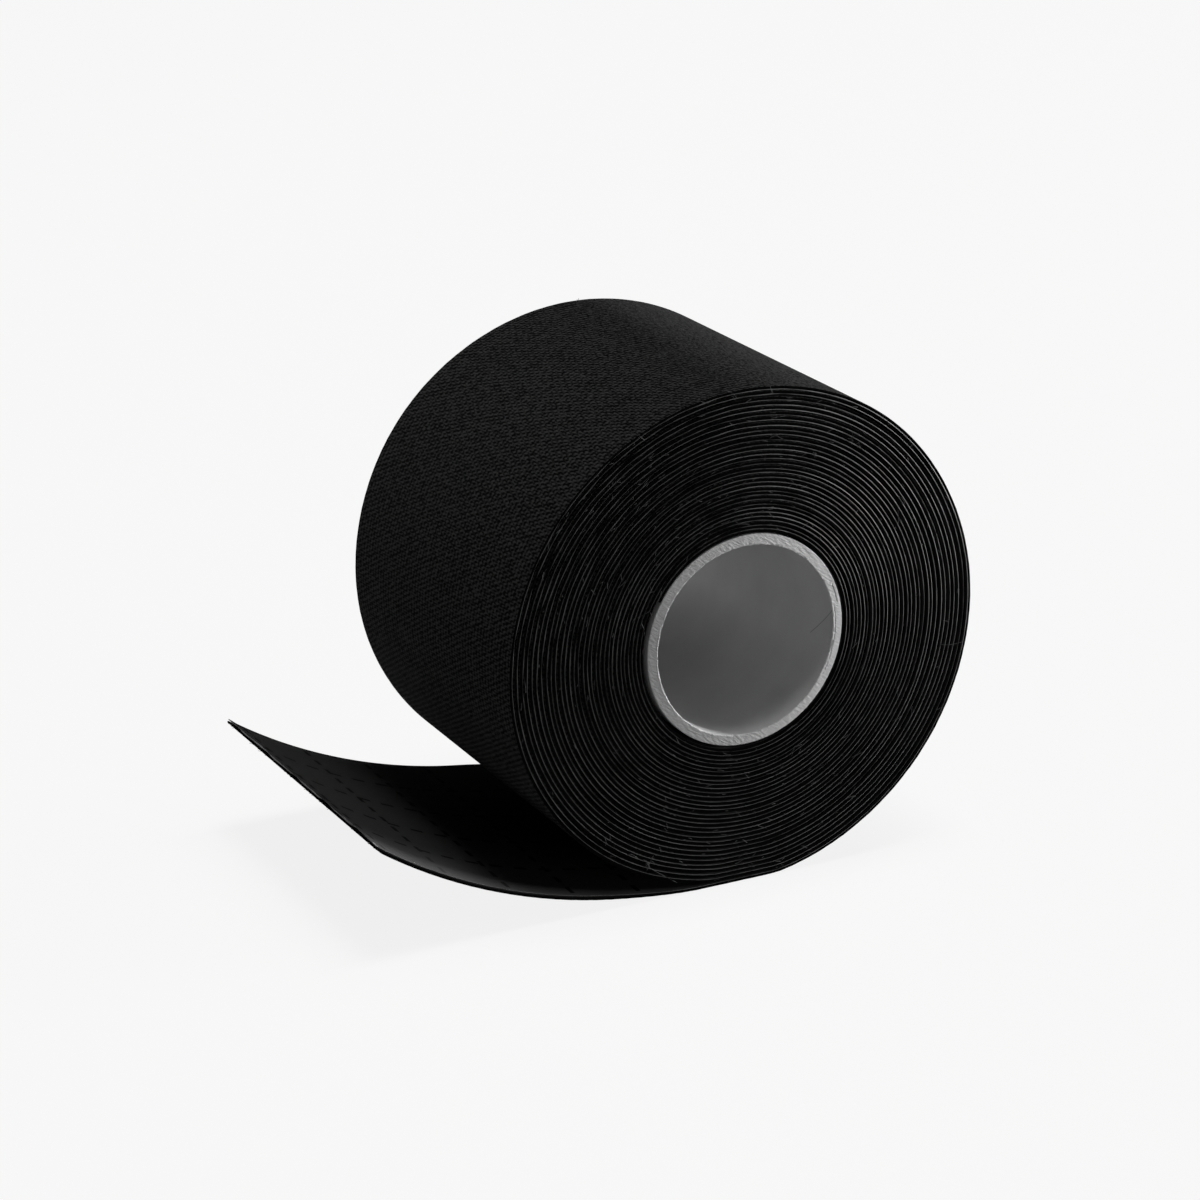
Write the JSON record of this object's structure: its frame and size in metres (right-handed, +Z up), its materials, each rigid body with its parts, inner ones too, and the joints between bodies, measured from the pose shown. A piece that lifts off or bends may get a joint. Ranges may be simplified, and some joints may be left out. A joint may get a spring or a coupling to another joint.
{
  "type": "cloth tape roll",
  "caption": "Roll of black elastic cloth sports tape on a white plastic core, with a release liner between the turns and a free end that curls up.",
  "frame": {"origin": "on the axis of the core's bore, halfway across the tape", "axes": "+Y along the bore, away from the end that faces the camera; +Z up; the free end leaves the bottom towards -X"},
  "size_m": [0.0903, 0.05, 0.0703],
  "materials": {
    "core_plastic": "satin",
    "strip_film": "satin",
    "cloth": "matte",
    "liner": "satin"
  },
  "bodies": {
    "roll": {"core": "core_plastic", "start_strip": "strip_film", "cloth_winding": "cloth", "liner_winding": "liner"},
    "tail_1": {"cloth_tail_1": "cloth", "liner_tail_1": "liner"},
    "tail_2": {"cloth_tail_2": "cloth", "liner_tail_2": "liner"},
    "tail_3": {"cloth_tail_3": "cloth", "liner_tail_3": "liner"},
    "tail_4": {"cloth_tail_4": "cloth", "liner_tail_4": "liner"},
    "tail_5": {"cloth_tail_5": "cloth", "liner_tail_5": "liner"},
    "tip": {"cloth_tip": "cloth"}
  },
  "joints": [
    {"name": "tail_bend_1", "type": "hinge", "parent": "roll", "child": "tail_1", "pos_m": [-0.01019, 0, -0.03464], "axis": [0, 1, 0], "range_deg": [-5.5, 10], "stiffness_Nm_per_rad": 0.01},
    {"name": "tail_bend_2", "type": "hinge", "parent": "tail_1", "child": "tail_2", "pos_m": [-0.01861, 0, -0.03377], "axis": [0, 1, 0], "range_deg": [-5.5, 10], "stiffness_Nm_per_rad": 0.01},
    {"name": "tail_bend_3", "type": "hinge", "parent": "tail_2", "child": "tail_3", "pos_m": [-0.02688, 0, -0.03201], "axis": [0, 1, 0], "range_deg": [-5.5, 10], "stiffness_Nm_per_rad": 0.01},
    {"name": "tail_bend_4", "type": "hinge", "parent": "tail_3", "child": "tail_4", "pos_m": [-0.03492, 0, -0.02939], "axis": [0, 1, 0], "range_deg": [-5.5, 10], "stiffness_Nm_per_rad": 0.01},
    {"name": "tail_bend_5", "type": "hinge", "parent": "tail_4", "child": "tail_5", "pos_m": [-0.04264, 0, -0.02592], "axis": [0, 1, 0], "range_deg": [-5.5, 10], "stiffness_Nm_per_rad": 0.01},
    {"name": "tip_peel", "type": "hinge", "parent": "tail_5", "child": "tip", "pos_m": [-0.0457, 0, -0.02467], "axis": [0, -1, 0], "range_deg": [0, 75]}
  ],
  "couplings": [
    {"joint": "tail_bend_2", "follows": "tail_bend_1", "ratio": 1},
    {"joint": "tail_bend_3", "follows": "tail_bend_1", "ratio": 1},
    {"joint": "tail_bend_4", "follows": "tail_bend_1", "ratio": 1},
    {"joint": "tail_bend_5", "follows": "tail_bend_1", "ratio": 1}
  ]
}
